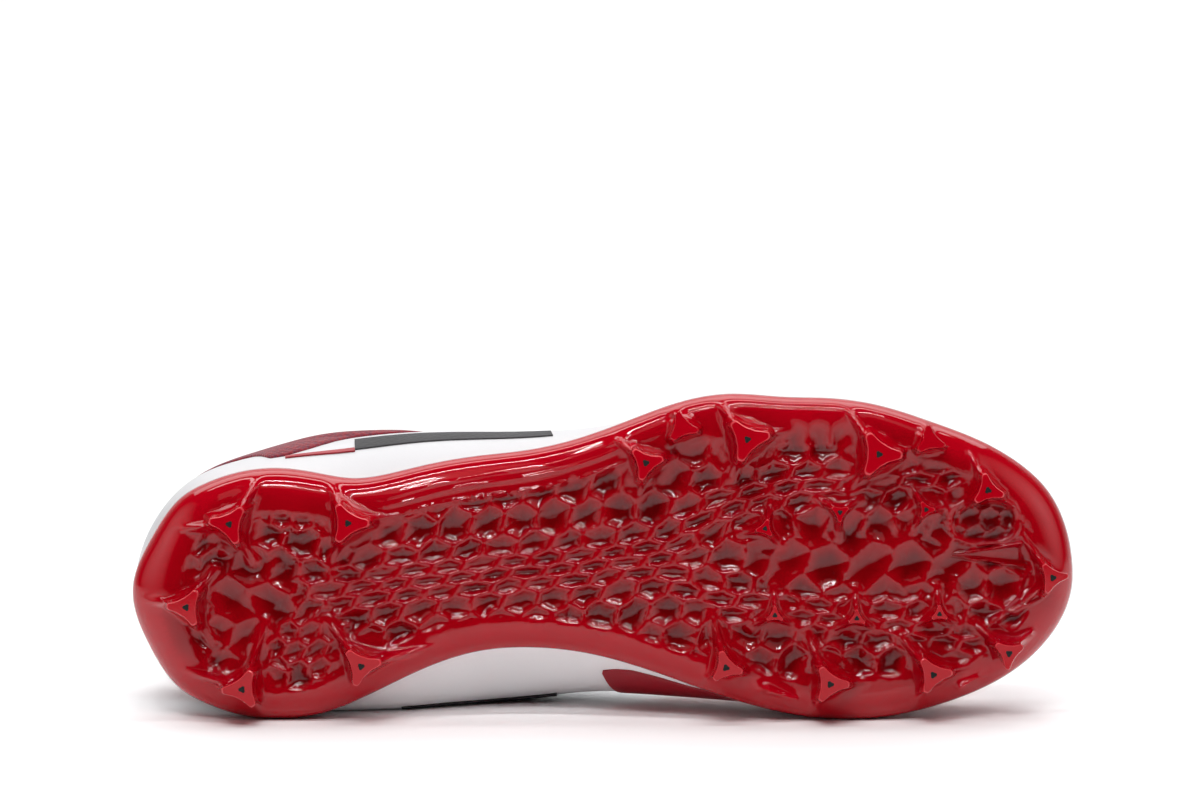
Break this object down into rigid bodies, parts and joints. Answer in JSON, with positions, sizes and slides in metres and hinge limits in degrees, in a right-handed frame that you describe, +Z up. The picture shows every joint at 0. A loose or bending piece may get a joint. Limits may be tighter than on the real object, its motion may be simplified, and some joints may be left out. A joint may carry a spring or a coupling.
{
  "type": "football cleat",
  "caption": "Right football cleat lying on its inner side: hollow low-cut upper on a glossy moulded plate with three-cornered studs and a cellular underside.",
  "frame": {"origin": "on the floor, under the middle of the lying shoe's bounding box", "axes": "+X from heel to toe, +Y from the studs towards the collar, +Z up from the floor, towards the shoe's lateral side"},
  "size_m": [0.303, 0.1119, 0.1028],
  "materials": {
    "plate": "high gloss red moulding",
    "upper": "smooth white synthetic with red and charcoal areas",
    "insole": "dark textile footbed",
    "tongue": "red padded mesh",
    "lace": "woven flat lace"
  },
  "bodies": {
    "root": {"outsole": "plate", "upper": "upper", "insole": "insole", "tongue": "tongue", "lace": "lace"}
  },
  "joints": []
}
